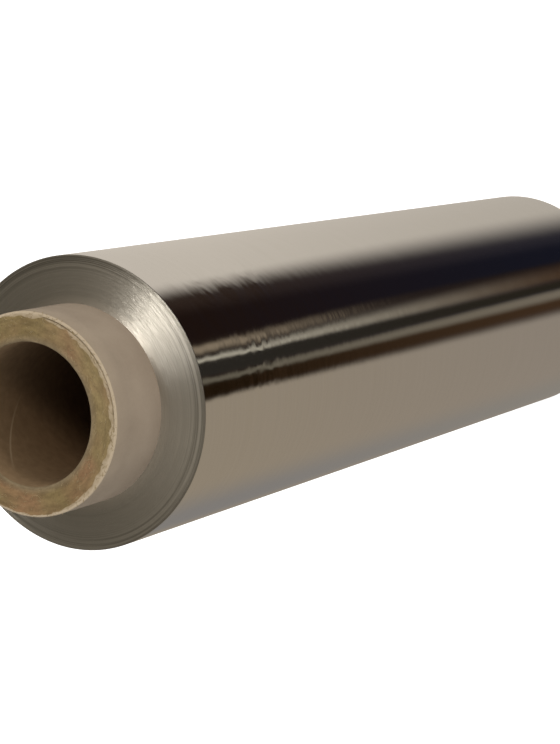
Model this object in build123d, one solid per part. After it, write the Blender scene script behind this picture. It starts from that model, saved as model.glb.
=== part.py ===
from build123d import *
import math
import os

# Roll of aluminium foil wound on a thick paper core, standing on one end of the core.
# Millimetres, +Z up along the roll's axis. The origin is the centre of the core's lower end.

# Paper core
CORE_BORE = 38.0
CORE_WALL = 8.0
CORE_OVERHANG = 22.0  # how far the core stands out past the foil at each end
CORE_EDGE_WEAR = 0.4  # how far the core's cut edges are worn off

# Gap at the core's upper end, where the outermost plies have come unglued from the board
PLY_THICKNESS = 0.8  # the loose plies together
PLY_GAP = 0.35  # width of the gap behind them
PLY_GAP_DEPTH = 1.5  # how deep it goes below the cut end
PLY_GAP_START = -112.0  # the gap's two ends, in degrees from +X towards +Y
PLY_GAP_END = -22.0

# Foil sheet and its winding
FOIL_WIDTH = 300.0  # width of the sheet, and so the length of the winding
WINDING_DEPTH = 13.0  # from the core's outside to the last turn
FOIL_EDGE_WEAR = 0.4  # how far the winding's two outer edges are worn off
TAIL_STEP = 0.15  # how far the sheet's free edge stands off the turn below it
TAIL_AZIMUTH = 90.0  # where the free edge lies, in degrees from +X towards +Y

# Turns that show as rings on the ends of the winding, because they stray along the axis
TURN_RINGS = 20  # rings from the core to the outside
RING_WANDER = 0.13  # how far the turns stray to either side
RING_PHASE = 2.3  # radians from one ring to the next, so that the straying looks uneven
TELESCOPE = 0.7  # how much higher the innermost turns stand than the outermost

# Sizes that follow from those above
BORE_RADIUS = CORE_BORE / 2
CORE_RADIUS = BORE_RADIUS + CORE_WALL
CORE_LENGTH = FOIL_WIDTH + 2 * CORE_OVERHANG
FOIL_RADIUS = CORE_RADIUS + WINDING_DEPTH
FOIL_BASE = CORE_OVERHANG  # height of the outermost turns' lower edge
UNDER_LAST_TURN = FOIL_RADIUS - 2 * TAIL_STEP  # outside of the turns below the last one
RING_PITCH = (UNDER_LAST_TURN - CORE_RADIUS) / TURN_RINGS


def stray(ring):
    """How far the turns at a ring are pushed up the axis; the outermost are not pushed."""
    inwards = TURN_RINGS - ring
    return TELESCOPE * inwards / TURN_RINGS + RING_WANDER * math.sin(RING_PHASE * inwards)


def wound_turns():
    """Every turn below the last one. A turn that strays does so at both of its edges alike."""
    lower, upper = [], []
    for ring in range(TURN_RINGS + 1):
        radius = CORE_RADIUS + ring * RING_PITCH
        bottom = FOIL_BASE + stray(ring)
        lower.append((radius, bottom))
        upper.append((radius, bottom + FOIL_WIDTH))
    section = make_face(Polyline(*lower, *reversed(upper), close=True))
    outer_corners = section.vertices().group_by(Axis.X)[-1]
    return revolve(Plane.XZ * chamfer(outer_corners, FOIL_EDGE_WEAR), Axis.Z)


def last_turn():
    """The outermost turn, a spiral of two half circles that ends in the sheet's free edge."""
    first_half = CenterArc((0, 0), FOIL_RADIUS, 0, 180)
    second_half = CenterArc((-TAIL_STEP / 2, 0), FOIL_RADIUS - TAIL_STEP / 2, 180, 180)
    free_edge = Line((FOIL_RADIUS - TAIL_STEP, 0), (FOIL_RADIUS, 0))
    outline = make_face([first_half, second_half, free_edge])
    section = Rot(0, 0, TAIL_AZIMUTH) * (outline - Circle(UNDER_LAST_TURN - RING_PITCH))
    return Pos(0, 0, FOIL_BASE + FOIL_EDGE_WEAR) * extrude(section, FOIL_WIDTH - 2 * FOIL_EDGE_WEAR)


def paper_core():
    """Thick spiral-wound tube, open right through, with its cut edges worn off."""
    section = Pos(BORE_RADIUS + CORE_WALL / 2, CORE_LENGTH / 2) * Rectangle(CORE_WALL, CORE_LENGTH)
    return revolve(Plane.XZ * chamfer(section.vertices(), CORE_EDGE_WEAR), Axis.Z)


def ply_gap():
    """The slit behind the loose outer plies, open at the core's upper end."""
    middle = CORE_RADIUS - PLY_THICKNESS - PLY_GAP / 2
    slit = Pos(middle, CORE_LENGTH) * Rectangle(PLY_GAP, 2 * PLY_GAP_DEPTH)
    turned = revolve(Plane.XZ * slit, Axis.Z, PLY_GAP_END - PLY_GAP_START)
    return Rot(0, 0, PLY_GAP_START) * turned


def main():
    os.makedirs("parts", exist_ok=True)
    pieces = {"foil_winding": wound_turns() + last_turn(), "paper_core": paper_core() - ply_gap()}
    for name, piece in pieces.items():
        export_step(piece, f"parts/{name}.step")
        size = piece.bounding_box().size
        print(name, "solids", len(piece.solids()), "volume", round(piece.volume), "size", size)


main()
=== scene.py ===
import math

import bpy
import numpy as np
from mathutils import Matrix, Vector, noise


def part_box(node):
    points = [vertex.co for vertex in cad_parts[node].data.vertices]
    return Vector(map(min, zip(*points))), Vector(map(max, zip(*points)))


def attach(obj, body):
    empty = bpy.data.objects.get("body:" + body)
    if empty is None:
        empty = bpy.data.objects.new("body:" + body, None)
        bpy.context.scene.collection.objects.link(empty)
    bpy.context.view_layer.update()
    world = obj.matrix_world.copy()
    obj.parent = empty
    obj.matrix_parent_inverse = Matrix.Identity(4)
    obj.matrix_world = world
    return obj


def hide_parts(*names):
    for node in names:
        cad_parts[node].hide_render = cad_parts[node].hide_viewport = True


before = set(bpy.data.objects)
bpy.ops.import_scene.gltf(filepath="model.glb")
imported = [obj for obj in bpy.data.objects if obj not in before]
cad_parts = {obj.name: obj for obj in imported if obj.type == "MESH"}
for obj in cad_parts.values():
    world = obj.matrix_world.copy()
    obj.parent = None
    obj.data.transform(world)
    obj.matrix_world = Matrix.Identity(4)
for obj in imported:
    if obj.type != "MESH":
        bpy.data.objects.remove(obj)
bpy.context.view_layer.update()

# %% [markdown]
# # A roll of aluminium foil
# The object has two pieces: a long foil sheet wound in hundreds of turns, and the thick paper tube that it is
# wound on. The frame holds both as plain solids, standing on end with the roll's axis on Z. This lesson gives
# each a finer mesh in the same place, then the finishes: rolled metal that mirrors the room, the dull edges
# of the turns, and raw paperboard. All sizes are in metres, so values in millimetres are multiplied by MM.

MM = 0.001
scene = bpy.context.scene
scene.view_settings.view_transform = "Standard"

# %% [markdown]
# ## Sizes from the solids
# A piece that replaces a solid has to keep its size, so the sizes are measured on the solids. A box gives the
# outer radius and the length. The bore has no box of its own: its radius is the least distance of any corner
# of the core's mesh from the axis. Only what the solids can't tell is written here as a number.

# %% Radii and heights of the winding and the core
SHEET_WIDTH = 300 * MM
foil_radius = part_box("foil_winding")[1].y
core_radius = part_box("paper_core")[1].y
core_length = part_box("paper_core")[1].z
core_corners = np.array([corner.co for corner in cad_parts["paper_core"].data.vertices])
bore_radius = float(np.hypot(core_corners[:, 0], core_corners[:, 1]).min())
foil_base = (core_length - SHEET_WIDTH) / 2
foil_top = foil_base + SHEET_WIDTH
print("radii in mm:", [round(radius / MM, 2) for radius in (foil_radius, core_radius, bore_radius)])

# %% [markdown]
# ## The camera
# The photo was taken from close by, so the near end looks larger. A camera is fixed by its place, by a point
# that it looks at and by the direction that is up in the picture. Here the roll stands upright, and the
# picture's up is nearly the roll's +X, so the camera is turned on its side rather than the roll.

# %% Place, aim and lens
CAMERA_PLACE = Vector((0, -341.2, 806.8)) * MM
CAMERA_AIM = Vector((-4.4, -42.7, 286.3)) * MM
PICTURE_UP = Vector((0.9731, -0.1961, -0.1208))
LENS_MM = 106.76

camera = bpy.data.objects.new("camera", bpy.data.cameras.new("camera"))
scene.collection.objects.link(camera)
ahead = (CAMERA_AIM - CAMERA_PLACE).normalized()
right = ahead.cross(PICTURE_UP).normalized()
turned = Matrix((right, right.cross(ahead), -ahead)).transposed()
camera.matrix_world = Matrix.Translation(CAMERA_PLACE) @ turned.to_4x4()
camera.data.lens = LENS_MM
camera.data.clip_start = 10 * MM
scene.camera = camera
print("camera", round((CAMERA_AIM - CAMERA_PLACE).length / MM), "mm from what it looks at")

# %% [markdown]
# ## Helpers
# Colours are written as a picker shows them, in sRGB hex, and one function turns them into the linear values
# that shaders count with. Node trees are built in code: one function adds any node, whose settings are plain
# properties, and another feeds its sockets, each with a value, a node or one output of a node. The kinds of
# node that come up often have short names. A material starts as a plain shader, and feeding that finishes it.

# %% Reading colours
def linear(hex_colour):
    """An sRGB hex value as the linear RGBA that a shader takes."""
    channels = [int(hex_colour[start:start + 2], 16) / 255 for start in (1, 3, 5)]
    return [c / 12.92 if c <= 0.04045 else ((c + 0.055) / 1.055) ** 2.4 for c in channels] + [1.0]


print("#808080 is", round(linear("#808080")[0], 3), "in linear light")

# %% Adding nodes and starting materials
MATH = "ShaderNodeMath"
VECTOR_MATH = "ShaderNodeVectorMath"
MAP_RANGE = "ShaderNodeMapRange"
NOISE_TEXTURE = "ShaderNodeTexNoise"
COLOUR_RAMP = "ShaderNodeValToRGB"
MIX = "ShaderNodeMix"
BUMP = "ShaderNodeBump"
GROUP = "ShaderNodeGroup"
COORDINATES = "ShaderNodeTexCoord"
SEPARATE = "ShaderNodeSeparateXYZ"
COMBINE = "ShaderNodeCombineXYZ"


def feed(tree, node, inputs):
    """Fills sockets, in order or by name or number. A node gives the first of its outputs in use."""
    for socket, value in inputs.items() if isinstance(inputs, dict) else enumerate(inputs):
        if isinstance(value, bpy.types.Node):
            value = next(output for output in value.outputs if output.enabled)
        if isinstance(value, bpy.types.NodeSocket):
            tree.links.new(value, node.inputs[socket])
        else:
            node.inputs[socket].default_value = value


def add(tree, kind, inputs=(), operation=None, stops=(), **settings):
    """Adds a node with its inputs, what a math node does, the stops of a ramp, and other settings by name."""
    made = tree.nodes.new(kind)
    if operation:
        settings["operation"] = operation
    for name, value in settings.items():
        setattr(made, name, value)
    feed(tree, made, inputs)
    for count, (position, colour) in enumerate(stops):
        elements = made.color_ramp.elements
        if count == 0:
            elements.remove(elements[1])
        element = elements[0] if count == 0 else elements.new(position)
        element.position = position
        element.color = linear(colour)
    return made


def start_material(name):
    """A new material and its node tree."""
    material = bpy.data.materials.new(name)
    material.use_nodes = True
    return material, material.node_tree


def finish_material(material, inputs):
    """Feeds a material's shader and says what was made."""
    tree = material.node_tree
    feed(tree, tree.nodes["Principled BSDF"], inputs)
    print("made", material.name, "with", len(tree.nodes), "nodes")
    return material


print("helpers ready: add makes a node, feed fills its sockets")

# %% [markdown]
# ## A place on a round piece
# The roll's patterns follow its roundness: rolling lines go round it, and turns and plies lie in rings. A
# pattern drawn by angle would break where the angle jumps from 180 to -180 degrees. So this node group
# squeezes space instead. On the side, X and Y are divided by the pattern's length and Z by its width. On an
# end, the distance from the axis takes the place of Z. Noise read at such a place is drawn out round the
# axis, and closes on itself. The group also gives the distance from the axis and the height, in millimetres.
# Most values of a noise lie between 0.3 and 0.7, so colours and roughness are spread over about that range.

# %% Node group: where a pattern of some length and width is read
round_place = bpy.data.node_groups.new("round place", "ShaderNodeTree")
for name in ("Length", "Width"):
    round_place.interface.new_socket(name, in_out="INPUT", socket_type="NodeSocketFloat")
for name, kind in (("Side", "Vector"), ("End", "Vector"), ("Radius", "Float"), ("Height", "Float")):
    round_place.interface.new_socket(name, in_out="OUTPUT", socket_type="NodeSocket" + kind)
pattern = add(round_place, "NodeGroupInput").outputs
metres = add(round_place, COORDINATES).outputs["Object"]
in_mm = add(round_place, VECTOR_MATH, {0: metres, "Scale": 1 / MM}, "SCALE")
flat = add(round_place, VECTOR_MATH, [in_mm, (1, 1, 0)], "MULTIPLY")
off_axis = add(round_place, VECTOR_MATH, [flat], "LENGTH")
above_floor = add(round_place, SEPARATE, [in_mm]).outputs["Z"]
round_it = add(round_place, VECTOR_MATH, [flat, pattern["Length"]], "DIVIDE")
results = []
for across in (above_floor, off_axis):
    narrow = add(round_place, MATH, [across, pattern["Width"]], "DIVIDE")
    third = add(round_place, COMBINE, {"Z": narrow})
    results.append(add(round_place, VECTOR_MATH, [round_it, third], "ADD"))
add(round_place, "NodeGroupOutput", [results[0], results[1], off_axis, above_floor])


def round_noise(tree, face, length, width, detail):
    """Noise on the "Side" or the "End", with spots of this length round the axis and this width, in mm."""
    place = add(tree, GROUP, {"Length": length, "Width": width}, node_tree=round_place)
    return add(tree, NOISE_TEXTURE, {"Vector": place.outputs[face], "Scale": 1.0, "Detail": detail})


print("node group", round_place.name, "has", len(round_place.nodes), "nodes")

# %% [markdown]
# ## Bright rolled foil
# Kitchen foil leaves the last rolling mill with one side polished by the steel rolls. It mirrors the room a
# little softly, and rolling lines run along the sheet, which means round the roll. A metal has no colour
# of its own besides its reflection, so base colour stays a light neutral grey, and the look comes from
# roughness. It is anisotropic: sharp across the lines of light on the roll and soft along them. Handling has
# left wrinkles of a few hundredths of a millimetre, in a wide belt below the end that is held, and deeper
# creases in a few spots. They are too flat to change the outline, so they are bumps in the shading.

# %% A belt of wrinkles
WRINKLE_BELT = (165, 70, 12, 2)  # mm below the upper edge: begins, is full, is full up to here, ends


def band(tree, value, begins, full, last, ends, blend="SMOOTHSTEP"):
    """1 from full to last, falling to 0 at begins and at ends."""
    rise = add(tree, MAP_RANGE, [value, begins, full], interpolation_type=blend)
    fall = add(tree, MAP_RANGE, [value, ends, last], interpolation_type=blend)
    return add(tree, MATH, [rise, fall], "MULTIPLY")


def wrinkles(tree):
    """Heights of dents 8 mm long round the roll and 3 mm along it, in the belt alone."""
    height = add(tree, GROUP, node_tree=round_place).outputs["Height"]
    belt = band(tree, height, *[foil_top / MM - below for below in WRINKLE_BELT])
    dents = round_noise(tree, "Side", 8.0, 3.0, 2.0)
    return add(tree, MATH, [dents, belt], "MULTIPLY")


print("wrinkles in a belt", WRINKLE_BELT[0] - WRINKLE_BELT[-1], "mm wide")

# %% Creased spots
CREASES = [(-92, 33, 13), (-55, 22, 7), (-55, 35, 7), (-54, 50, 9)]  # azimuth, mm below the edge, reach in mm
FULLY_CREASED = 0.3  # share of the reach in which a spot is creased most


def creases(tree):
    """Heights of dents about 5 mm across, in a few round spots."""
    spot = add(tree, COORDINATES).outputs["Object"]
    share = 0.0
    for azimuth, below, reach in CREASES:
        out = Vector((math.cos(math.radians(azimuth)), math.sin(math.radians(azimuth)), 0)) * foil_radius
        centre = out + Vector((0, 0, foil_top - below * MM))
        away = add(tree, VECTOR_MATH, [spot, centre], "DISTANCE")
        near = add(tree, MAP_RANGE, [away, reach * MM, FULLY_CREASED * reach * MM])
        share = add(tree, MATH, [near, share], "MAXIMUM")
    dents = round_noise(tree, "Side", 5.0, 4.5, 1.0)
    return add(tree, MATH, [dents, share], "MULTIPLY")


print("creases in", len(CREASES), "spots")

# %% Material: bright rolled aluminium
WRINKLE_DEPTH = 0.025 * MM
CREASE_DEPTH = 0.10 * MM
QUARTER_TURN = 0.25  # draws reflections out across the lines


def grooved_metal(tree, anisotropy):
    """What the shader of a metal with fine lines round the axis is fed."""
    tangent = add(tree, "ShaderNodeTangent", direction_type="RADIAL", axis="Z")
    return {"Metallic": 1.0, "Anisotropic": anisotropy, "Anisotropic Rotation": QUARTER_TURN,
            "Tangent": tangent}


def bright_rolled_aluminium():
    """Polished by the rolls: a bright mirror, a little softer along the roll than round it."""
    material, tree = start_material("bright rolled aluminium")
    # Rolling lines, drawn 0.8 mm wide: the real ones are some micrometres and would not show
    lines = round_noise(tree, "Side", 40.0, 0.8, 4.0)
    wrinkled = add(tree, BUMP, {"Height": wrinkles(tree), "Distance": WRINKLE_DEPTH})
    creased = add(tree, BUMP, {"Height": creases(tree), "Distance": CREASE_DEPTH, "Normal": wrinkled})
    return finish_material(material, {
        **grooved_metal(tree, 0.5),
        "Base Color": add(tree, COLOUR_RAMP, [lines], stops=[(0.3, "#EFEEEB"), (0.7, "#F2F1EF")]),
        "Roughness": add(tree, MAP_RANGE, [lines, 0.3, 0.7, 0.080, 0.088]),
        "Normal": creased,
    })


foil_side = bright_rolled_aluminium()

# %% [markdown]
# ## Edges of the turns
# The ends of the winding are hundreds of cut foil edges side by side. Together they look like metal with
# fine circular grooves, darker than the sheet because light is lost between the turns. Such a surface spreads
# a reflection across the grooves, so a lamp shows as a bright wedge that points at the axis, as on the base
# of a pan. The turns aren't alike, so colour changes from ring to ring. The loose last turns carry painted
# shade for the gaps between them, fullest towards +X, and the first turns beside the core a painted
# highlight for their edges. Short strokes where an edge was rubbed break up the wedge.

# %% Colours from turn to turn, with painted shade and a painted highlight
GAP_SHADE_RINGS = (-5, -2)  # mm from the outer edge: painted shade in the gaps between the last, loose turns begins, and is full
GAP_SHADE_SIDE = (22 * MM, 34 * MM)  # between these places, towards +X, the painted shade grows to full
# share of the painted gap shade away from the +X side
GAP_SHADE_ELSEWHERE = 0.75
FIRST_TURN_HIGHLIGHT = (2.8, 0.3)  # mm from the core: a painted highlight for the edges of the first turns, which stand free of it, begins, and is full


def ring_share(tree, circle, begins, full):
    """0 to 1 between two distances in mm from a circle round the axis, counted outwards."""
    radius = add(tree, GROUP, node_tree=round_place).outputs["Radius"]
    return add(tree, MAP_RANGE, [radius, circle / MM + begins, circle / MM + full])


def turn_colours_and_painted_light(tree):
    """Grey that changes from ring to ring, with painted shade in the gaps between loose turns and a painted
    highlight on the first turns.
    """
    # Rings 0.4 mm apart: the turns are finer, but closer rings would not show in the picture
    rings = round_noise(tree, "End", 70.0, 0.4, 3.0)
    inner = add(tree, COLOUR_RAMP, [rings], stops=[(0.3, "#AFACA5"), (0.7, "#B7B4AD")])
    # The dark stops of the outer rings are painted shade for the gaps between loose turns
    gap_shaded_rings = add(tree, COLOUR_RAMP, [rings], stops=[(0.4, "#8A8780"), (0.58, "#C0BDB6")])
    out = ring_share(tree, foil_radius, *GAP_SHADE_RINGS)
    spot = add(tree, COORDINATES).outputs["Object"]
    across = add(tree, SEPARATE, [spot]).outputs["X"]
    on_side = add(tree, MAP_RANGE, [across, *GAP_SHADE_SIDE, GAP_SHADE_ELSEWHERE])
    gap_shade = add(tree, MATH, [out, on_side], "MULTIPLY")
    turns = add(tree, MIX, {"Factor": gap_shade, 6: inner, 7: gap_shaded_rings}, data_type="RGBA")
    # Painted highlight: the first turns beside the core are lighter, for their edges catching the light
    first_turn_highlight = ring_share(tree, core_radius, *FIRST_TURN_HIGHLIGHT)
    return add(tree, MIX, {"Factor": first_turn_highlight, 6: turns, 7: linear("#C6C2BA")}, data_type="RGBA")


print("loose turns in the outer", -GAP_SHADE_RINGS[0], "mm, free ones in the inner", FIRST_TURN_HIGHLIGHT[0], "mm")

# %% Material: cut foil edges
STROKE_DEPTH = 0.06 * MM


def cut_foil_edges():
    """Many edges side by side: a dull metal with circular grooves, which draw a lamp out to a wedge."""
    material, tree = start_material("cut aluminium foil edges")
    # Rubbed strokes 3 mm long and 0.5 mm wide
    strokes = round_noise(tree, "End", 3.0, 0.5, 2.0)
    return finish_material(material, {
        **grooved_metal(tree, 0.85),
        "Base Color": turn_colours_and_painted_light(tree),
        "Roughness": add(tree, MAP_RANGE, [strokes, 0.3, 0.7, 0.39, 0.32]),
        "Normal": add(tree, BUMP, {"Height": strokes, "Distance": STROKE_DEPTH}),
    })


foil_edges = cut_foil_edges()

# %% [markdown]
# ## The winding
# The winding's shape follows a rule, so Geometry Nodes make it. A flat grid is bent into the roll: its
# columns go round the axis and its rows go along the section, from the core out over the lower end, up the
# side and back in over the upper end. Every second row of an end drops a little, so that each ring leans
# outwards like a roof tile, which makes the bright wedge one-sided. The radius shrinks slowly once round, so
# the last column stands off the first by the sheet's free edge, on the side away from the camera.

# %% Node tree: foil winding
winding_tree = bpy.data.node_groups.new("foil winding", "GeometryNodeTree")
winding_tree.interface.new_socket("Geometry", in_out="OUTPUT", socket_type="NodeSocketGeometry")
WINDING_INPUTS = {
    "Core radius": core_radius,
    "Foil radius": foil_radius,
    "Lower edge": foil_base,
    "Sheet width": SHEET_WIDTH,
    "Rings": 44,
    "Ring drop": 0.05 * MM,
    "Ring wander": 0.03 * MM,
    "Telescope": 0.7 * MM,
    "Tail step": 0.15 * MM,
    "Tail azimuth": math.radians(90),
    "Edge round": 0.2 * MM,
    "Dent depth": 0.10 * MM,
    "Dent size": 8 * MM,
    "Dented width": 70 * MM,
    "Side rows": 190,
    "Columns": 240,
    "Seed": 3.0,
    "Side": foil_side,
    "Ends": foil_edges,
}
SOCKET_KINDS = {int: "NodeSocketInt", float: "NodeSocketFloat", bpy.types.Material: "NodeSocketMaterial"}


def declare_inputs(tree, values):
    """Gives a node tree one named input per value and returns their identifiers."""
    made = {}
    for name, value in values.items():
        socket = tree.interface.new_socket(name, in_out="INPUT", socket_type=SOCKET_KINDS[type(value)])
        made[name] = socket.identifier
    return made


winding_sockets = declare_inputs(winding_tree, WINDING_INPUTS)
given = add(winding_tree, "NodeGroupInput").outputs
print("winding tree takes", len(winding_sockets), "named inputs")

# %% Row and column of each point, and where that row lies in the section
t = winding_tree
end_rows = add(t, MATH, [given["Rings"], 2.0], "MULTIPLY")
last_row = add(t, MATH, [end_rows, 2.0, given["Side rows"]], "MULTIPLY_ADD")
row_count = add(t, MATH, [last_row, 2.0], "ADD")
column_count = add(t, MATH, [given["Columns"], 2.0], "ADD")
grid = add(t, "GeometryNodeMeshGrid", {"Vertices X": row_count, "Vertices Y": column_count})
number = add(t, "GeometryNodeInputIndex")
strip = add(t, MATH, [number, column_count], "DIVIDE")
strip_row = add(t, MATH, [strip], "FLOOR")
rows_around = add(t, MATH, [last_row, 1.0], "ADD")
row = add(t, MATH, [strip_row, rows_around], "FLOORED_MODULO")
column = add(t, MATH, [number, column_count], "FLOORED_MODULO")
columns_around = add(t, MATH, [given["Columns"], 1.0], "ADD")
own_column = add(t, MATH, [column, columns_around], "FLOORED_MODULO")
turn = add(t, MATH, [own_column, given["Columns"]], "DIVIDE")
rows_left = add(t, MATH, [last_row, row], "SUBTRACT")
nearer_end = add(t, MATH, [row, rows_left], "MINIMUM")
from_core = add(t, MATH, [nearer_end, end_rows], "MINIMUM")
print("rows and columns:", len(t.nodes), "nodes so far")

# %% Radius: a ring is two rows wide, and the last turn ends in a step
OUTERMOST = 0.999  # share of the way out past which a row is on the outside of the roll
half_up = add(t, MATH, [from_core, 0.5, 0.5], "MULTIPLY_ADD")
whole_ring = add(t, MATH, [half_up], "FLOOR")
outness = add(t, MATH, [whole_ring, given["Rings"]], "DIVIDE")
outside = add(t, MATH, [outness, OUTERMOST], "GREATER_THAN")
depth = add(t, MATH, [given["Foil radius"], given["Core radius"]], "SUBTRACT")
lost = add(t, MATH, [turn, given["Tail step"]], "MULTIPLY")
spiral_depth = add(t, MATH, [depth, lost], "SUBTRACT")
ring_radius = add(t, MATH, [outness, spiral_depth, given["Core radius"]], "MULTIPLY_ADD")
print("radius:", len(t.nodes), "nodes so far")

# %% Height up the side, with closer rows at both edges
EDGE_CLOSENESS = 0.9  # 0 spaces the rows evenly, 1 would let them meet at the edges
side_end = add(t, MATH, [end_rows, given["Side rows"]], "ADD")
even_climb = add(t, MAP_RANGE, [row, end_rows, side_end])
full_turn = add(t, MATH, [even_climb, math.tau], "MULTIPLY")
swing = add(t, MATH, [full_turn], "SINE")
climb = add(t, MATH, [swing, -EDGE_CLOSENESS / math.tau, even_climb], "MULTIPLY_ADD")
side_height = add(t, MATH, [climb, given["Sheet width"], given["Lower edge"]], "MULTIPLY_ADD")
print("side height:", len(t.nodes), "nodes so far")

# %% Height of each ring: the lean of the whole end, its own straying, and the drop of every second row
RING_SEED_STEP = 0.73  # how far apart two rings read the noise
NOISE_MIDDLE = 0.5
inwards = add(t, MATH, [1.0, outness], "SUBTRACT")
lean = add(t, MATH, [inwards, given["Telescope"], side_height], "MULTIPLY_ADD")
ring_seed = add(t, MATH, [whole_ring, RING_SEED_STEP, given["Seed"]], "MULTIPLY_ADD")
stray = add(t, NOISE_TEXTURE, {"W": ring_seed, "Scale": 1.0, "Detail": 2.0}, noise_dimensions="1D")
stray_range = add(t, MATH, [stray, NOISE_MIDDLE], "SUBTRACT")
stray_inside = add(t, MATH, [stray_range, inwards], "MULTIPLY")
strayed = add(t, MATH, [stray_inside, given["Ring wander"], lean], "MULTIPLY_ADD")
every_second = add(t, MATH, [from_core, 2.0], "FLOORED_MODULO")
towards_middle = add(t, MATH, [climb, -2.0, 1.0], "MULTIPLY_ADD")
drop = add(t, MATH, [every_second, towards_middle], "MULTIPLY")
ring_height = add(t, MATH, [drop, given["Ring drop"], strayed], "MULTIPLY_ADD")
print("ring height:", len(t.nodes), "nodes so far")

# %% Rounded outer edges, and the grid bent round the axis
below_top = add(t, MATH, [1.0, climb], "SUBTRACT")
nearer_edge = add(t, MATH, [climb, below_top], "MINIMUM")
edge_gap = add(t, MATH, [nearer_edge, given["Sheet width"]], "MULTIPLY")
roundness = add(t, MAP_RANGE, [edge_gap, 0.0, given["Edge round"], 1.0, 0.0])
eased = add(t, MATH, [roundness, 2.0], "POWER")
rounded_off = add(t, MATH, [eased, outside], "MULTIPLY")
half_round = add(t, MATH, [given["Edge round"], -0.5], "MULTIPLY")
radius = add(t, MATH, [rounded_off, half_round, ring_radius], "MULTIPLY_ADD")
angle = add(t, MATH, [turn, math.tau, given["Tail azimuth"]], "MULTIPLY_ADD")
section_point = add(t, COMBINE, {"X": radius, "Z": ring_height})
bent = add(t, "ShaderNodeVectorRotate", {"Vector": section_point, "Angle": angle}, rotation_type="Z_AXIS")
roll = add(t, "GeometryNodeSetPosition", {"Geometry": grid, "Position": bent})
past_round = add(t, MATH, [edge_gap, given["Edge round"]], "GREATER_THAN")
half_and_half = add(t, MATH, [past_round, 0.5, 0.5], "MULTIPLY_ADD")
sheetness = add(t, MATH, [outside, half_and_half], "MULTIPLY")
marked = add(t, "GeometryNodeStoreNamedAttribute", {"Geometry": roll, "Name": "sheet", "Value": sheetness})
print("bent round:", len(t.nodes), "nodes so far")

# %% Dents in the sheet, most of them below the upper edge
LEAST_DENTED = 0.25  # share of the dents that is left further down
SHEET_MARK, OUTSIDE_MARK = 0.9, 0.4  # above these: the sheet without its rounded edges, and with them
here = add(t, "GeometryNodeInputPosition")
dent_scale = add(t, MATH, [1.0, given["Dent size"]], "DIVIDE")
dent_place = add(t, VECTOR_MATH, {0: here, "Scale": dent_scale}, "SCALE")
dents = add(t, NOISE_TEXTURE, {"Vector": dent_place, "W": given["Seed"], "Scale": 1.0, "Detail": 1.0},
            noise_dimensions="4D")
dent = add(t, MATH, [dents, NOISE_MIDDLE], "SUBTRACT")
own_height = add(t, SEPARATE, [here]).outputs["Z"]
upper_edge = add(t, MATH, [given["Lower edge"], given["Sheet width"]], "ADD")
below_edge = add(t, MATH, [upper_edge, own_height], "SUBTRACT")
handled = add(t, MAP_RANGE, [below_edge, 0.0, given["Dented width"], 1.0, LEAST_DENTED])
handled_dent = add(t, MATH, [dent, handled], "MULTIPLY")
dent_depth = add(t, MATH, [handled_dent, given["Dent depth"]], "MULTIPLY")
flat_place = add(t, VECTOR_MATH, [here, (1, 1, 0)], "MULTIPLY")
out_direction = add(t, VECTOR_MATH, [flat_place], "NORMALIZE")
push = add(t, VECTOR_MATH, {0: out_direction, "Scale": dent_depth}, "SCALE")
mark = add(t, "GeometryNodeInputNamedAttribute", {"Name": "sheet"})
is_sheet = add(t, MATH, [mark, SHEET_MARK], "GREATER_THAN")
is_outside = add(t, MATH, [mark, OUTSIDE_MARK], "GREATER_THAN")
dented = add(t, "GeometryNodeSetPosition", {"Geometry": marked, "Selection": is_sheet, "Offset": push})
print("dented:", len(t.nodes), "nodes so far")

# %% Closed seams, smooth side and the two materials
SAME_PLACE = 0.001 * MM
closed = add(t, "GeometryNodeMergeByDistance", {"Geometry": dented, "Distance": SAME_PLACE})
smooth = add(t, "GeometryNodeSetShadeSmooth", {"Geometry": closed, "Shade Smooth": is_outside}, domain="FACE")
whole = add(t, "GeometryNodeRealizeInstances", {"Geometry": smooth})
end_finish = add(t, "GeometryNodeSetMaterial", {"Geometry": whole, "Material": given["Ends"]})
side_finish = add(t, "GeometryNodeSetMaterial",
                  {"Geometry": end_finish, "Selection": is_sheet, "Material": given["Side"]})
add(t, "NodeGroupOutput", [side_finish])
print("foil winding tree has", len(t.nodes), "nodes")


# %% The tree's result as a plain mesh
def made_by_nodes(name, tree, sockets, values, start_mesh=None):
    """Runs a node tree once and returns an object with the plain mesh that comes out."""
    holder = bpy.data.objects.new(name + "_holder", start_mesh or bpy.data.meshes.new(name + "_holder"))
    scene.collection.objects.link(holder)
    modifier = holder.modifiers.new(name, "NODES")
    modifier.node_group = tree
    for label, value in values.items():
        modifier[sockets[label]] = value
    evaluated = holder.evaluated_get(bpy.context.evaluated_depsgraph_get())
    mesh = bpy.data.meshes.new_from_object(evaluated)
    holder.modifiers.remove(modifier)
    bpy.data.objects.remove(holder)
    # A mesh that had no material of its own has an empty slot, which goes
    for index in reversed(range(len(mesh.materials))):
        if mesh.materials[index] is None:
            mesh.materials.pop(index=index)
    piece = bpy.data.objects.new(name, mesh)
    scene.collection.objects.link(piece)
    return piece


foil = made_by_nodes("foil_turns", winding_tree, winding_sockets, WINDING_INPUTS)
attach(foil, "root")
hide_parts("foil_winding")
finish_of = np.zeros(len(foil.data.polygons), dtype=np.int32)
foil.data.polygons.foreach_get("material_index", finish_of)
for index, material in enumerate(foil.data.materials):
    print("foil_turns:", int((finish_of == index).sum()), "faces of", material.name)

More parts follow.
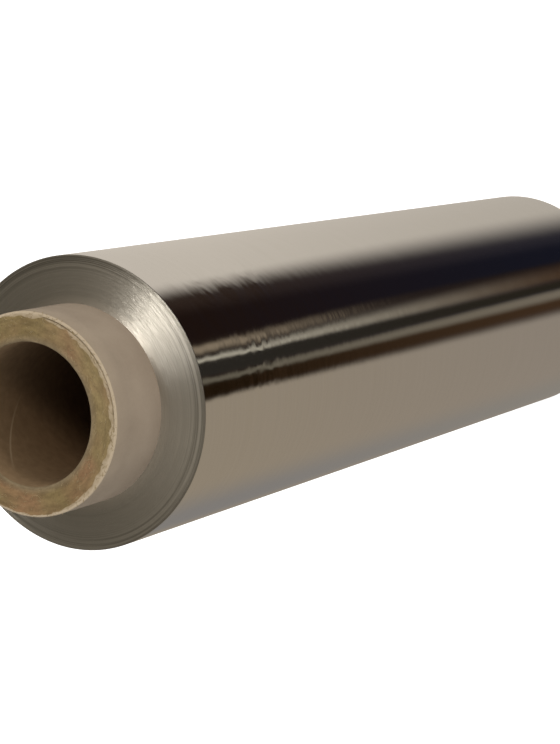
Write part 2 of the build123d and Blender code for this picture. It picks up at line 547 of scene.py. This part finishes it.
# %% [markdown]
# ## Paperboard
# The core is wound from grey-brown recycled board and covered with a smooth taupe paper. Outside it is matt
# and even, with painted light on it: darker at the cut ends and lighter beside the foil, where the winding's
# metal end throws light back on the tube. The cut ends show the raw board: fibres torn by the knife, in olive
# and reddish patches, some of them lighter, greyer where the knife pressed the inner edge smooth, with a pale
# rim where the covering paper was cut. Inside, the innermost ply is a darker brown, with painted shade that
# makes it darker deeper in the bore and paler towards both ends, and the spiral line where its two edges
# meet.
# None of these patterns repeats, so each is noise at the size that its spots have on the real paper.

# %% Material: taupe covering paper
FIBRE_SHARE = 0.35  # how much the fibres colour the paper, beside the clouds
PAINTED_SHADE_FULLEST = 2 * MM  # this far from a cut end the painted shade is darkest


def end_distances(tree, height):
    """How far a height is from the core's upper end, and from the nearer of its ends."""
    from_top = add(tree, MATH, [core_length, height], "SUBTRACT")
    return from_top, add(tree, MATH, [from_top, height], "MINIMUM")


def taupe_paper():
    """Pressed smooth in the paper mill: an even, matt and slightly cloudy taupe, with painted light that is
    darker at the cut ends and lighter beside the foil.
    """
    material, tree = start_material("taupe covering paper")
    spot = add(tree, COORDINATES).outputs["Object"]
    # Fibres of the paper 0.9 mm long, and cloudiness 12 mm across
    fibres = add(tree, NOISE_TEXTURE, {"Vector": spot, "Scale": 1 / (0.9 * MM), "Detail": 4.0})
    clouds = add(tree, NOISE_TEXTURE, {"Vector": spot, "Scale": 1 / (12 * MM), "Detail": 2.0})
    both = add(tree, MATH, [fibres, FIBRE_SHARE, clouds], "MULTIPLY_ADD")
    # Painted light: darker at the cut ends and lighter towards the foil, standing in for the light that the
    # winding's metal end throws back on the tube
    shaded_end_tone = add(tree, COLOUR_RAMP, [both], stops=[(0.45, "#867867"), (0.9, "#908270")])
    foil_lit_tone = add(tree, COLOUR_RAMP, [both], stops=[(0.45, "#9A8A78"), (0.9, "#A49482")])
    height = add(tree, SEPARATE, [spot]).outputs["Z"]
    from_end = end_distances(tree, height)[1]
    inwards = add(tree, MAP_RANGE, [from_end, PAINTED_SHADE_FULLEST, foil_base])
    return finish_material(material, {
        "Base Color": add(tree, MIX, {"Factor": inwards, 6: shaded_end_tone, 7: foil_lit_tone}, data_type="RGBA"),
        "Roughness": 0.7,
        "Specular IOR Level": 0.3,
        "Normal": add(tree, BUMP, {"Height": fibres, "Distance": 0.008 * MM}),
    })


covering = taupe_paper()

# %% Colours of the raw board
OLIVE_PATTERN, LIGHT_PATTERN = 6.08, 7.46  # each number picks one pattern of many
PRESSED_EDGE = (2.2, 0.4)  # mm from the bore: the pressed edge begins, and is full


def board_colours(tree, spot):
    """Olive and reddish patches 12 mm across, lighter ones 18 mm across, and a greyer edge round the bore."""
    patches = add(tree, NOISE_TEXTURE,
                  {"Vector": spot, "W": OLIVE_PATTERN, "Scale": 1 / (12 * MM), "Detail": 2.0},
                  noise_dimensions="4D")
    tint = add(tree, COLOUR_RAMP, [patches],
               stops=[(0.42, "#847453"), (0.50, "#867254"), (0.62, "#8C7055")])
    lights = add(tree, NOISE_TEXTURE,
                 {"Vector": spot, "W": LIGHT_PATTERN, "Scale": 1 / (18 * MM), "Detail": 1.0},
                 noise_dimensions="4D")
    lightness = add(tree, COLOUR_RAMP, [lights], stops=[(0.32, "#E9E6DF"), (0.72, "#FCFCFC")])
    board = add(tree, MIX, {"Factor": 1.0, 6: tint, 7: lightness}, data_type="RGBA", blend_type="MULTIPLY")
    pressed = ring_share(tree, bore_radius, *PRESSED_EDGE)
    return add(tree, MIX, {"Factor": pressed, 6: board, 7: linear("#786A54")}, data_type="RGBA")


print("pressed edge", PRESSED_EDGE[0], "mm wide")

# %% Material: cut board end
CRUMB_SHARE = 0.35  # how much the crumbs count beside the mottle
TORN_DEPTH = 0.10 * MM


def cut_board():
    """Torn by the knife: a rough, dull and mottled brown, with a pale rim where the covering paper ends."""
    material, tree = start_material("cut recycled paperboard")
    spot = add(tree, COORDINATES).outputs["Object"]
    # Mottle along the plies 4 mm long and 1.4 mm wide, and crumbs 0.6 mm across
    mottle = round_noise(tree, "End", 4.0, 1.4, 3.0)
    feed(tree, mottle, {"Roughness": 0.6})
    crumbs = add(tree, NOISE_TEXTURE, {"Vector": spot, "Scale": 1 / (0.6 * MM), "Detail": 2.0})
    texture = add(tree, MATH, [crumbs, CRUMB_SHARE, mottle], "MULTIPLY_ADD")
    shade = add(tree, COLOUR_RAMP, [texture], stops=[(0.46, "#D0CCC5"), (0.86, "#FFFDF6")])
    mottled = add(tree, MIX, {"Factor": 1.0, 6: board_colours(tree, spot), 7: shade},
                  data_type="RGBA", blend_type="MULTIPLY")
    pale = add(tree, "ShaderNodeAttribute", attribute_name="pale").outputs["Fac"]
    return finish_material(material, {
        "Base Color": add(tree, MIX, {"Factor": pale, 6: mottled, 7: linear("#A4957F")}, data_type="RGBA"),
        "Roughness": 0.9,
        "Specular IOR Level": 0.2,
        "Normal": add(tree, BUMP, {"Height": texture, "Distance": TORN_DEPTH}),
    })


board_end = cut_board()

# %% The seam of the bore paper
SEAM_PITCH = 97 * MM  # the seam climbs this much once round
SEAM_START = 0.893  # in turns: where the seam would be at the floor
SEAM_EDGE = (0.006, 0.002)  # in turns: the seam's edge begins, and is full; together about 0.6 mm wide
# Below the upper end the seam opens, is open, is open up to the third place and closes
SEAM_OPEN = (6 * MM, 11 * MM, 15 * MM, 24 * MM)


def open_seam(tree, axes, from_top):
    """1 on a helix, where azimuth and height, both in turns, differ by a whole number."""
    azimuth = add(tree, MATH, [axes["Y"], axes["X"]], "ARCTAN2")
    turns = add(tree, MATH, [azimuth, 1 / math.tau, -SEAM_START], "MULTIPLY_ADD")
    climbed = add(tree, MATH, [axes["Z"], -1 / SEAM_PITCH, turns], "MULTIPLY_ADD")
    from_seam = add(tree, MATH, [climbed, 0.5], "PINGPONG")
    seam = add(tree, MAP_RANGE, [from_seam, *SEAM_EDGE])
    shows = band(tree, from_top, *SEAM_OPEN, blend="LINEAR")
    return add(tree, MATH, [seam, shows], "MULTIPLY")


print("seam climbs", round(SEAM_PITCH / MM), "mm once round")

# %% Material: brown paper of the bore
MOUTH_LIGHT_DEPTHS = (45 * MM, 5 * MM)  # from an end: the painted shade deeper in the bore begins to lift here, and the paper is palest here


def bore_paper():
    """Rough unbleached paper: a dull, dark and mottled brown, with painted shade that darkens it deeper in
    the bore.
    """
    material, tree = start_material("brown bore paper")
    spot = add(tree, COORDINATES).outputs["Object"]
    # Mottle 2 mm across
    mottle = add(tree, NOISE_TEXTURE, {"Vector": spot, "Scale": 1 / (2 * MM), "Detail": 4.0})
    # Painted shade: the dark tone lies deep in the bore, and the paler one near its ends stands in for light
    # at its mouths
    inside = add(tree, COLOUR_RAMP, [mottle], stops=[(0.3, "#533D29"), (0.7, "#5E4731")])
    paler_mouth_tone = add(tree, COLOUR_RAMP, [mottle], stops=[(0.3, "#6F5B43"), (0.7, "#79644B")])
    axes = add(tree, SEPARATE, [spot]).outputs
    from_top, from_end = end_distances(tree, axes["Z"])
    mouth_light = add(tree, MAP_RANGE, [from_end, *MOUTH_LIGHT_DEPTHS])
    wear_and_depth_shade = add(tree, MIX, {"Factor": mouth_light, 6: inside, 7: paler_mouth_tone}, data_type="RGBA")
    seam = open_seam(tree, axes, from_top)
    return finish_material(material, {
        "Base Color": add(tree, MIX, {"Factor": seam, 6: wear_and_depth_shade, 7: linear("#85725A")}, data_type="RGBA"),
        "Roughness": 0.85,
        "Specular IOR Level": 0.2,
        "Normal": add(tree, BUMP, {"Height": mottle, "Distance": 0.05 * MM}),
    })


bore_finish = bore_paper()

# %% [markdown]
# ## The core tube
# The tube is a section turned round the axis, but no two directions are alike: the knife left the ends
# rough, and at the upper end the covering plies have come unglued over a quarter of the way round. So the
# mesh is built point by point from one function that gives, for a place on the section and an angle, where
# the paper is there. It also says how pale the paper is, which the cut board's material reads.

# %% What the cut end does at a radius and an angle
EDGE_WEAR = 0.4 * MM  # width of the worn edges
WEAR_DEPTH = 0.6 * EDGE_WEAR
PLY_INSIDE = core_radius - 0.8 * MM  # the covering plies are 0.8 mm thick,
GAP_INSIDE = PLY_INSIDE - 0.35 * MM  # and stand off the board by 0.35 mm
GAP_DEPTH = 1.5 * MM
GAP_START, GAP_END = math.radians(-112), math.radians(-22)
GAP_FADE = math.radians(14)
TEAR = 0.16 * MM  # depth of the torn surface
RIM = 0.6 * MM  # width of the pale rim
TORN_RIM = 2.0 * MM  # and where the covering paper is torn off
TORN_FROM, TORN_TO = math.radians(-185), math.radians(10)
UPPER_LAYER, LOWER_LAYER = 7, 19  # of the noise


def rough(place, size, layer):
    """Smooth noise from -1 to 1 with bumps of that size; another layer gives other bumps."""
    return noise.noise(place / size + Vector((0, 0, layer)))


def gap_share(azimuth):
    """1 where the covering plies stand off, 0 where they are glued, and between the two at the gap's ends."""
    inside = min(azimuth - GAP_START, GAP_END - azimuth)
    share = min(max(inside / GAP_FADE, 0.0), 1.0)
    return share * share * (3 - 2 * share)


def cut_end(radius, azimuth, upper):
    """How far the cut board lies below the end plane, and how pale it is."""
    place = Vector((math.cos(azimuth), math.sin(azimuth), 0.0)) * radius
    layer = UPPER_LAYER if upper else LOWER_LAYER
    from_rim = core_radius - radius
    # Worn at both edges, and torn in crumbs of 0.9 mm and lumps of 2.2 mm
    wear_and_depth_shade = max(0.0, 1 - min(from_rim, radius - bore_radius) / EDGE_WEAR)
    low = WEAR_DEPTH * wear_and_depth_shade * wear_and_depth_shade
    low += TEAR * (0.5 + 0.35 * rough(place, 0.9 * MM, layer) + 0.35 * rough(place, 2.2 * MM, layer + 40))
    # Pale at the rim, and fading from it where the covering paper is torn off
    rim = RIM * (1 + 0.6 * rough(place, 2.0 * MM, layer + 80))
    along = min(max((azimuth - TORN_FROM) / (TORN_TO - TORN_FROM), 0.0), 1.0)
    torn = TORN_RIM * math.sin(math.pi * along) ** 0.4 * (1 + 0.5 * rough(place, 2.5 * MM, layer + 90))
    bare = 1.0 + 0.3 * rough(place, 1.2 * MM, layer + 60) - 0.5 * from_rim / max(torn, 0.01 * MM)
    pale = 1.0 if from_rim < rim else bare if from_rim < torn else 0.0
    # The gap behind the plies that stand off has a jagged inner side
    jag = 0.2 * MM * rough(place, 1.2 * MM, 31) + 0.15 * MM * rough(place, 3.5 * MM, 57)
    if upper and GAP_INSIDE + jag < radius < PLY_INSIDE:
        low += GAP_DEPTH * gap_share(azimuth)
    return low, pale


print("gap between", round(math.degrees(GAP_START)), "and", round(math.degrees(GAP_END)), "degrees")

# %% Points of the tube, row by row
CORE_COLUMNS = 480
# Across the covering plies, across the gap with its jagged side, and across the board
END_RADII = list(np.linspace(core_radius, PLY_INSIDE, 6))
END_RADII += list(np.linspace(PLY_INSIDE - 0.03 * MM, GAP_INSIDE - 0.9 * MM, 14))
END_RADII += list(np.linspace(GAP_INSIDE - 1.1 * MM, bore_radius, 28))
SIDE_SHARES = [0.02, 0.05, 0.065, 0.2, 0.5, 0.8, 0.935, 0.95, 0.98]  # of the length, closer where it shows
BORE_SHARES = list(np.linspace(1.0, 0.0, 40))[1:-1]
core_rows = [("covering", core_radius, share) for share in SIDE_SHARES]
core_rows += [("upper end", end_radius, 1.0) for end_radius in END_RADII]
core_rows += [("bore", bore_radius, share) for share in BORE_SHARES]
core_rows += [("lower end", end_radius, 0.0) for end_radius in reversed(END_RADII)]
core_points, paleness = [], []
for part, part_radius, share in core_rows:
    for azimuth in np.linspace(-math.pi, math.pi, CORE_COLUMNS, endpoint=False):
        level, pale = share * core_length, 0.0
        if part.endswith("end"):
            low, pale = cut_end(part_radius, azimuth, part == "upper end")
            level += -low if part == "upper end" else low
        core_points.append((part_radius * math.cos(azimuth), part_radius * math.sin(azimuth), level))
        paleness.append(pale)
print("core:", len(core_rows), "rows of", CORE_COLUMNS, "points")

# %% Faces between the rows, closed round the axis and round the section
FINISH_NUMBERS = {"covering": 0, "upper end": 1, "lower end": 1, "bore": 2}
core_faces, core_finishes = [], []
for this_row, (part, *_) in enumerate(core_rows):
    next_row = (this_row + 1) % len(core_rows)
    next_part = core_rows[next_row][0]
    crosses_edge = part.endswith("end") and next_part != part
    core_finishes += [FINISH_NUMBERS[next_part if crosses_edge else part]] * CORE_COLUMNS
    for this_column in range(CORE_COLUMNS):
        next_column = (this_column + 1) % CORE_COLUMNS
        core_faces.append((this_row * CORE_COLUMNS + this_column, this_row * CORE_COLUMNS + next_column,
                           next_row * CORE_COLUMNS + next_column, next_row * CORE_COLUMNS + this_column))
core_mesh = bpy.data.meshes.new("core_tube")
core_mesh.from_pydata(core_points, [], core_faces)
for material in (covering, board_end, bore_finish):
    core_mesh.materials.append(material)
core_mesh.polygons.foreach_set("material_index", core_finishes)
core_mesh.polygons.foreach_set("use_smooth", [True] * len(core_faces))
core_mesh.attributes.new("pale", "FLOAT", "POINT").data.foreach_set("value", paleness)
core_mesh.update()
core = bpy.data.objects.new("core_tube", core_mesh)
scene.collection.objects.link(core)
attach(core, "root")
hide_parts("paper_core")
print("core_tube:", len(core_faces), "faces")

# %% [markdown]
# ## Torn fibres
# A knife doesn't cut recycled board cleanly: it pulls out short fibres, which lie on the end in all
# directions but mostly along the plies. They repeat by the hundred, so Geometry Nodes scatter them: points on
# the upper end, more of them where the paper is pale and torn, and on each point one small bent strand of
# three sides, turned and scaled at random from a fixed seed.

# %% Material: paper fibre
def paper_fibre():
    """Pulled out of the board: dull strands, some dark and some pale."""
    material, tree = start_material("torn paper fibre")
    spot = add(tree, COORDINATES).outputs["Object"]
    # From strand to strand, which are about 1.5 mm apart
    strands = add(tree, NOISE_TEXTURE, {"Vector": spot, "Scale": 1 / (1.5 * MM), "Detail": 1.0})
    colour = add(tree, COLOUR_RAMP, [strands], stops=[(0.35, "#786748"), (0.65, "#988767")])
    return finish_material(material, {"Base Color": colour, "Roughness": 0.9, "Specular IOR Level": 0.2})


fibre_finish = paper_fibre()

# %% Node tree: torn fibres
FIBRE_INPUTS = {
    "Fibres per square metre": 0.55 / MM**2,
    "Fibre length": 1.0 * MM,
    "Fibre thickness": 0.09 * MM,
    "Spread": math.radians(55),
    "Lift": math.radians(9),
    "Least height": core_length - 0.6 * MM,
    "Least radius": bore_radius + 1.0 * MM,
    "Seed": 11,
    "Paper": fibre_finish,
}
fibre_tree = bpy.data.node_groups.new("torn fibres", "GeometryNodeTree")
fibre_tree.interface.new_socket("Geometry", in_out="OUTPUT", socket_type="NodeSocketGeometry")
fibre_tree.interface.new_socket("Geometry", in_out="INPUT", socket_type="NodeSocketGeometry")
fibre_sockets = declare_inputs(fibre_tree, FIBRE_INPUTS)
t = fibre_tree
given = add(t, "NodeGroupInput").outputs
print("fibre tree takes", len(fibre_sockets), "named inputs")

# %% Points on the upper cut end
FACES_UP = 0.6  # least Z of the normal of a face that carries fibres
TORN_MORE = 2.0  # added to a density of 1 where the paper is pale
here = add(t, "GeometryNodeInputPosition")
axes = add(t, SEPARATE, [here]).outputs
facing = add(t, SEPARATE, [add(t, "GeometryNodeInputNormal")]).outputs["Z"]
faces_up = add(t, MATH, [facing, FACES_UP], "GREATER_THAN")
is_high = add(t, MATH, [axes["Z"], given["Least height"]], "GREATER_THAN")
high_face = add(t, MATH, [faces_up, is_high], "MULTIPLY")
level_place = add(t, COMBINE, {"X": axes["X"], "Y": axes["Y"]})
off_axis = add(t, VECTOR_MATH, [level_place], "LENGTH")
off_bore = add(t, MATH, [off_axis, given["Least radius"]], "GREATER_THAN")
on_end = add(t, MATH, [high_face, off_bore], "MULTIPLY")
pale_here = add(t, "GeometryNodeInputNamedAttribute", {"Name": "pale"})
torn_more = add(t, MATH, [pale_here, TORN_MORE, 1.0], "MULTIPLY_ADD")
density = add(t, MATH, [torn_more, given["Fibres per square metre"]], "MULTIPLY")
scattered = add(t, "GeometryNodeDistributePointsOnFaces",
                {"Mesh": given["Geometry"], "Selection": on_end, "Density": density, "Seed": given["Seed"]})
print("points:", len(t.nodes), "nodes so far")

# %% One bent strand on each point, along the plies give or take the spread
BOW = 0.3  # of a strand's length
SCALES = (0.4, 1.7)  # of the shortest and the longest strand
half_length = add(t, MATH, [given["Fibre length"], 0.5], "MULTIPLY")
bow = add(t, MATH, [given["Fibre length"], BOW], "MULTIPLY")
back = add(t, MATH, [half_length, -1.0], "MULTIPLY")
path = add(t, "GeometryNodeCurveQuadraticBezier",
           {"Resolution": 4, "Start": add(t, COMBINE, {"X": back}),
            "Middle": add(t, COMBINE, {"Y": bow}),
            "End": add(t, COMBINE, {"X": half_length})})
half_thick = add(t, MATH, [given["Fibre thickness"], 0.5], "MULTIPLY")
profile = add(t, "GeometryNodeCurvePrimitiveCircle", {"Resolution": 3, "Radius": half_thick})
strand = add(t, "GeometryNodeCurveToMesh", {"Curve": path, "Profile Curve": profile, "Fill Caps": True})
along = add(t, MATH, [axes["Y"], axes["X"]], "ARCTAN2")
across_to_along = add(t, MATH, [along, math.pi / 2], "ADD")
least = add(t, MATH, [given["Spread"], -1.0], "MULTIPLY")
chances = []
for count, (low, high) in enumerate([(least, given["Spread"]), (0.0, given["Lift"]), SCALES]):
    seed = add(t, MATH, [given["Seed"], count], "ADD")
    chances.append(add(t, "FunctionNodeRandomValue", {2: low, 3: high, "Seed": seed}))
sway, tilt, size = chances
heading = add(t, MATH, [across_to_along, sway], "ADD")
turned_to = add(t, COMBINE, {"Y": tilt, "Z": heading})
strands = add(t, "GeometryNodeInstanceOnPoints",
              {"Points": scattered, "Instance": strand, "Rotation": turned_to, "Scale": size})
whole = add(t, "GeometryNodeRealizeInstances", {"Geometry": strands})
finished = add(t, "GeometryNodeSetMaterial", {"Geometry": whole, "Material": given["Paper"]})
add(t, "NodeGroupOutput", [finished])
fibres = made_by_nodes("torn_fibres", fibre_tree, fibre_sockets, FIBRE_INPUTS, core_mesh)
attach(fibres, "root")
print("torn_fibres:", len(fibres.data.polygons), "faces")

# %% [markdown]
# ## The room
# Foil shows what is around it, so the room is half of the look. Round the roll stand a pale wall on one side,
# a dim one on the other and darkness between, which turns to dusk towards the pale wall, with three slits of
# light in it. Each is a band of bearings that begins, is full and ends. The upper end of the roll mirrors the
# room at one slope and the lower end at a steeper one, so every band has its colour and its four bearings for
# both, and is mixed between them. Its last number is the share of the way down at which the lower values are
# reached. The ceiling, with a darker gap in it beside the lamps, shows in the ends of the winding.
# Reflections see this room, the paper gets an even soft light, and the camera sees plain white.

# %% Bands of the room, in degrees from +X towards +Y
UPPER_SLOPE, LOWER_SLOPE = 58.5, 68.5
DIM_WALL = ("#958978", "#90867B")
BANDS = {
    "grey corner": ("#837F7B", "#8B857C", (100, 128, 135, 178), (100, 128, 135, 178), 1.0),
    "darkness": ("#1D130F", "#151722", (-113.5, -107.5, 40, 60), (-123, -103, 40, 60), 1.0),
    "dusk": ("#2F241E", "#27262E", (-43, -27, 40, 60), (-46, -29, 40, 60), 1.0),
    "brown corner": ("#1D1308", "#423021", (-113, -108, -99, -97), (-120, -105, -101, -93), 1.0),
    "lower slit": ("#635D50", "#766D60", (-99.9, -97.2, -96.7, -93.4), (-103.5, -95, -93.5, -85.5), 1.0),
    "strip between": ("#292622", "#26221B", (-94, -92, -83, -81.5), (-90, -86, -83.5, -78), 1.0),
    "upper slit": ("#8A7C69", "#211A19", (-76.6, -71.3, -70.3, -66.3), (-72, -66, -63, -57), 0.47),
    "middle slit": ("#AEA898", "#3F2D1F", (-82.1, -80.2, -79.7, -77.2), (-84.5, -75.5, -74.1, -58.6), 0.9),
    "pale wall": ("#C8BFB3", "#B4ACA1", (-25, -5, 90, 106), (-31, 13, 90, 106), 1.0),
}
print("bands, painted in this order:", ", ".join(BANDS))

# %% World: the bands one over another
world = bpy.data.worlds.new("room")
scene.world = world
world.use_nodes = True
tree = world.node_tree
towards = add(tree, COORDINATES).outputs["Generated"]
axes = add(tree, SEPARATE, [towards]).outputs
radians = add(tree, MATH, [axes["Y"], axes["X"]], "ARCTAN2")
bearing = add(tree, MATH, [radians], "DEGREES")
slopes = [-math.sin(math.radians(slope)) for slope in (UPPER_SLOPE, LOWER_SLOPE)]
lowness = add(tree, MAP_RANGE, [axes["Z"], *slopes])
walls = add(tree, MIX, {"Factor": lowness, 6: linear(DIM_WALL[0]), 7: linear(DIM_WALL[1])},
            data_type="RGBA")
for upper, lower, upper_edges, lower_edges, reach in BANDS.values():
    way_down = add(tree, MAP_RANGE, {0: lowness, 2: reach})
    edges = [add(tree, MAP_RANGE, {0: way_down, 3: upper_edge, 4: lower_edge})
             for upper_edge, lower_edge in zip(upper_edges, lower_edges)]
    share = band(tree, bearing, *edges)
    colour = add(tree, MIX, {"Factor": way_down, 6: linear(upper), 7: linear(lower)}, data_type="RGBA")
    walls = add(tree, MIX, {"Factor": share, 6: walls, 7: colour}, data_type="RGBA")
print("world has", len(tree.nodes), "nodes")

# %% World: the ceiling
CEILING_GAP = 0.02  # how far towards +X the gap lies, on a ceiling 1 m above the roll
CEILING_START, CEILING_FULL = -0.05, 0.25  # Z of the directions at which the walls turn into the ceiling
dome = add(tree, COLOUR_RAMP, [axes["Z"]],
           stops=[(0.0, "#6E675C"), (0.7, "#7A7366"), (0.85, "#A0978A"), (0.97, "#BFB7A9")])
beside_lamp = add(tree, MATH, [axes["X"], CEILING_GAP], "SUBTRACT")
off_gap = add(tree, MATH, [beside_lamp], "ABSOLUTE")
gap = add(tree, COLOUR_RAMP, [off_gap], stops=[(0.04, "#ACACAC"), (0.2, "#FFFFFF")])
ceiling = add(tree, MIX, {"Factor": 1.0, 6: dome, 7: gap}, data_type="RGBA", blend_type="MULTIPLY")
overhead = add(tree, MAP_RANGE, [axes["Z"], CEILING_START, CEILING_FULL])
room = add(tree, MIX, {"Factor": overhead, 6: walls, 7: ceiling}, data_type="RGBA")
print("with its ceiling the world has", len(tree.nodes), "nodes")

# %% World: what each kind of ray sees
SOFT_LIGHT = (0.84, 0.84, 0.84, 1.0)
WHITE = (1.0, 1.0, 1.0, 1.0)
rays = add(tree, "ShaderNodeLightPath").outputs
# Light that the metal throws on the paper is soft light too, so the room is only for rays that met no paper
met_no_paper = add(tree, MATH, [rays["Diffuse Depth"], 0.5], "LESS_THAN")
mirrored = add(tree, MATH, [rays["Is Glossy Ray"], met_no_paper], "MULTIPLY")
lit = add(tree, MIX, {"Factor": mirrored, 6: SOFT_LIGHT, 7: room}, data_type="RGBA")
seen = add(tree, MIX, {"Factor": rays["Is Camera Ray"], 6: lit, 7: WHITE}, data_type="RGBA")
feed(tree, tree.nodes["Background"], {"Color": seen})
print("soft light of strength", SOFT_LIGHT[0])

# %% [markdown]
# ## Lamps
# Three soft lamps do the rest. The key lamp hangs almost over the upper end, a little towards +X: the cut
# edges throw it back as the bright wedge. A weaker one straight above widens the wedge on its lower side. The
# fill lamp stands on the camera's side and shines slantwise into the bore, so that one wall of it is lit and
# the other lies in shade. The metal doesn't show this lamp.

# %% Key, top and fill
LAMP_DISTANCE = 1.3


def soft_lamp(name, direction, size, watts, colour):
    """A square area lamp that faces the middle of the winding's upper end."""
    data = bpy.data.lights.new(name, "AREA")
    data.size = size
    data.energy = watts
    data.color = linear(colour)[:3]
    lamp = bpy.data.objects.new(name, data)
    aim = Vector((0, 0, foil_top))
    lamp.location = aim + Vector(direction).normalized() * LAMP_DISTANCE
    lamp.rotation_euler = (lamp.location - aim).to_track_quat("Z", "Y").to_euler()
    lamp.visible_camera = False
    scene.collection.objects.link(lamp)
    return lamp


key = soft_lamp("key lamp", (0.30, 0.055, 0.95), 0.25, 2.2, "#FFFAF2")
top = soft_lamp("top lamp", (0.11, 0.06, 0.98), 0.16, 0.54, "#FFFAF2")
fill = soft_lamp("fill lamp", (0.39, -0.56, 0.73), 0.3, 5.9, "#FFF8EE")
fill.visible_glossy = False
print("lamps:", key.name, top.name, fill.name)

# %% [markdown]
# ## The floor
# The floor is a plain pale plane. For the camera it adds a glow of its own, so that it comes out white like
# the photo's background while the roll's shadow still shows on it. The foil doesn't mirror it: the room's
# walls go on below it for reflections, as if the roll stood on clear glass.

# %% Floor and its paint
FLOOR_SIZE = 6.0
FLOOR_GLOW = 0.55
paint, tree = start_material("pale floor paint")
camera_ray = add(tree, "ShaderNodeLightPath").outputs["Is Camera Ray"]
glow = add(tree, MATH, [camera_ray, FLOOR_GLOW], "MULTIPLY")
finish_material(paint, {
    "Base Color": linear("#F2F2F2"),
    "Roughness": 0.9,
    "Emission Color": WHITE,
    "Emission Strength": glow,
})
half = FLOOR_SIZE / 2
floor_corners = [(-half, -half, 0), (half, -half, 0), (half, half, 0), (-half, half, 0)]
floor_mesh = bpy.data.meshes.new("floor")
floor_mesh.from_pydata(floor_corners, [], [(0, 1, 2, 3)])
floor_mesh.materials.append(paint)
floor = bpy.data.objects.new("floor", floor_mesh)
floor.visible_glossy = False
scene.collection.objects.link(floor)
print("floor", FLOOR_SIZE, "m wide")
